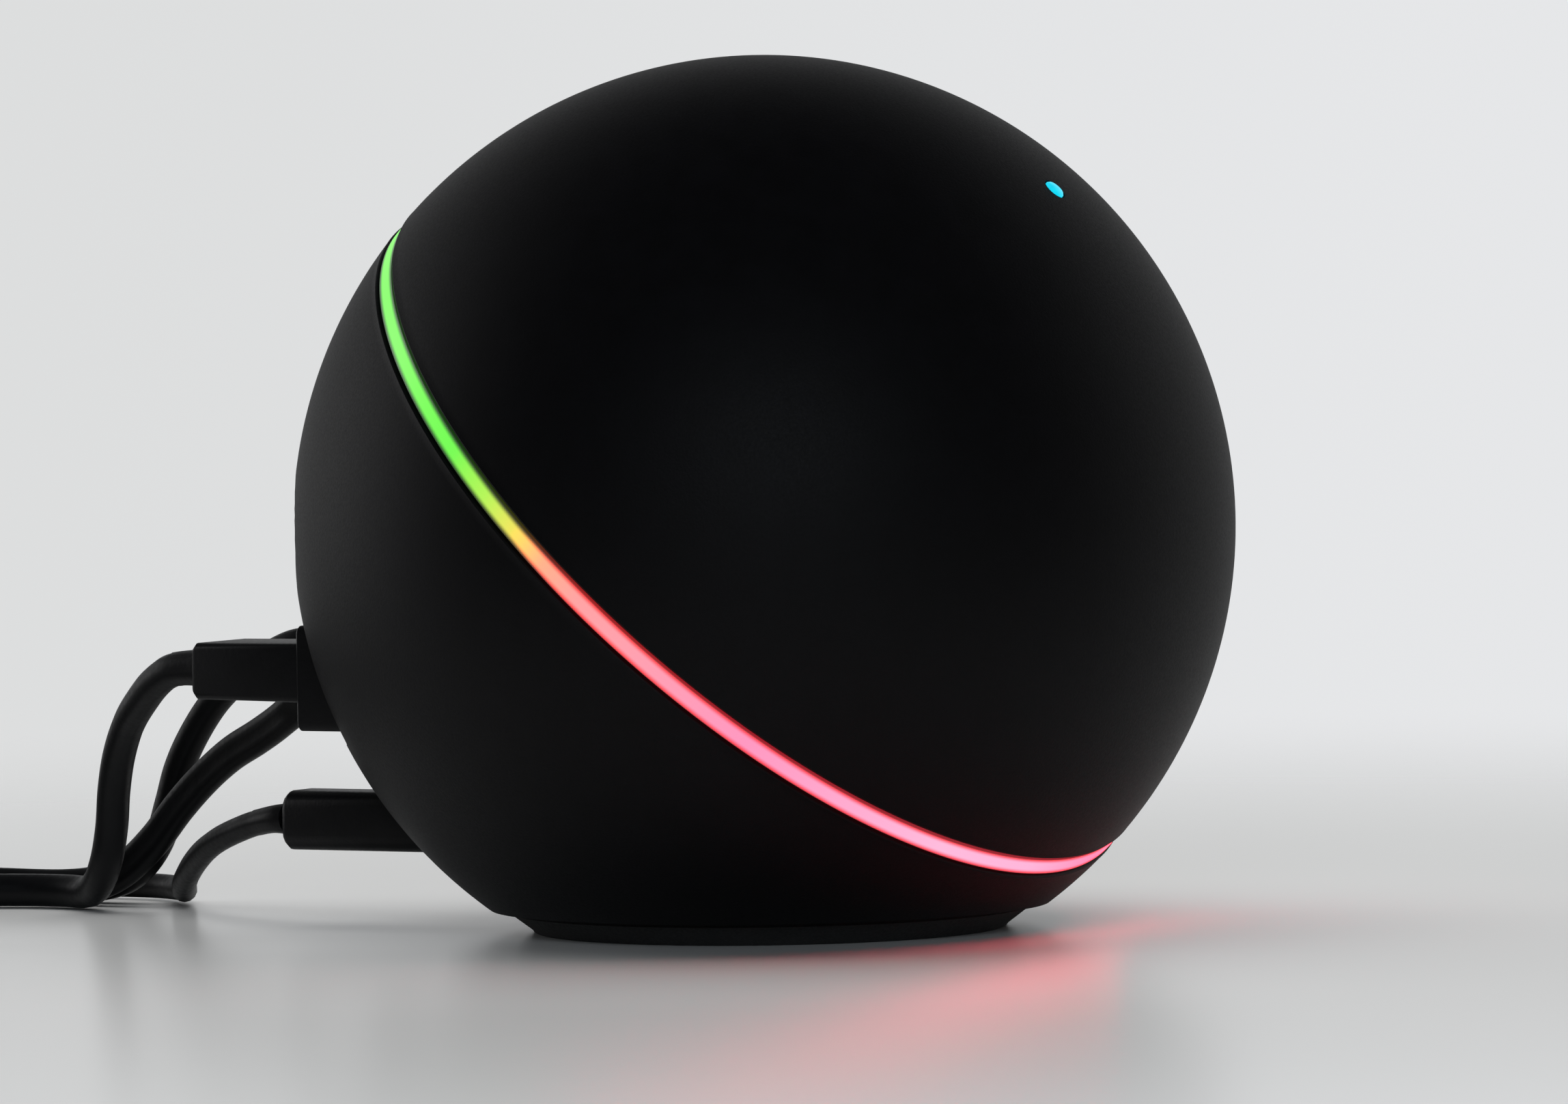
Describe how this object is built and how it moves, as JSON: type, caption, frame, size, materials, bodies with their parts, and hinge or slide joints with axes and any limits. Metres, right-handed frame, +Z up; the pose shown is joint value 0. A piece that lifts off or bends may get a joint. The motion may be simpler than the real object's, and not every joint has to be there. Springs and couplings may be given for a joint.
{
  "type": "network music player",
  "caption": "Matt black ball-shaped network player with a tilted turning dome, a light ring in the seam, a rubber foot and leads plugged in at the back.",
  "frame": {"origin": "centre of the foot's underside, on the surface that the ball stands on", "axes": "+Z up; front, towards which the dome leans, is -Y; the ports face +Y; the device's right-hand side is -X"},
  "size_m": [0.1327, 0.3449, 0.1074],
  "materials": {
    "matt_black": "fine matt black paint on die-cast metal",
    "light_guide": "milky diffuser plastic, lit from behind",
    "rubber": "matt black rubber",
    "inner_plastic": "dark grey moulded plastic",
    "circuit_board": "green solder mask",
    "steel": "ground bearing steel and plated screws",
    "aluminium": "drawn aluminium can",
    "socket": "black moulded socket bodies",
    "copper": "copper winding and plated contacts",
    "cord_black": "black flexible vinyl cord and moulded plugs"
  },
  "bodies": {
    "base": {"base_shell": "matt_black", "bearing_inner_race": "steel", "bottom_plate": "inner_plastic", "centre_mast": "inner_plastic", "encoder_sensor": "socket", "frame_screw_1": "steel", "frame_screw_2": "steel", "frame_screw_3": "steel", "led_board": "circuit_board", "light_ring": "light_guide", "main_board": "circuit_board", "mains_coil": "cord_black", "mains_cord": "cord_black", "mains_cord_tail": "cord_black", "mains_far_plug": "cord_black", "mains_inlet": "socket", "mains_plug": "cord_black", "mid_frame": "inner_plastic", "mute_light_guide": "light_guide", "network_coil": "cord_black", "network_cord": "cord_black", "network_cord_tail": "cord_black", "network_far_plug": "cord_black", "network_plug": "cord_black", "network_socket": "socket", "optical_coil": "cord_black", "optical_cord": "cord_black", "optical_cord_tail": "cord_black", "optical_far_plug": "cord_black", "optical_plug": "cord_black", "optical_socket": "socket", "port_panel": "inner_plastic", "power_board": "circuit_board", "power_transformer": "copper", "rubber_foot": "rubber", "smoothing_capacitor": "aluminium", "speaker_terminal_1": "copper", "speaker_terminal_2": "copper", "speaker_terminal_3": "copper", "speaker_terminal_4": "copper", "touch_board": "circuit_board", "usb_socket": "socket", "video_coil": "cord_black", "video_cord": "cord_black", "video_cord_tail": "cord_black", "video_far_plug": "cord_black", "video_plug": "cord_black", "video_socket": "socket"},
    "dome": {"dome_shell": "matt_black", "dome_carrier": "inner_plastic", "bearing_outer_race": "steel", "encoder_ring": "steel", "mute_lens": "light_guide"},
    "cage": {"ball_cage": "inner_plastic", "bearing_ball_1": "steel", "bearing_ball_2": "steel", "bearing_ball_3": "steel", "bearing_ball_4": "steel", "bearing_ball_5": "steel", "bearing_ball_6": "steel"}
  },
  "joints": [
    {"name": "dome_spin", "type": "hinge", "parent": "base", "child": "dome", "pos_m": [0, 0, 0.0495], "axis": [0, -0.7071, 0.7071], "continuous": true},
    {"name": "cage_spin", "type": "hinge", "parent": "base", "child": "cage", "pos_m": [0, 0, 0.0495], "axis": [0, -0.7071, 0.7071], "continuous": true}
  ],
  "couplings": [
    {"joint": "cage_spin", "follows": "dome_spin", "ratio": 0.5437}
  ]
}
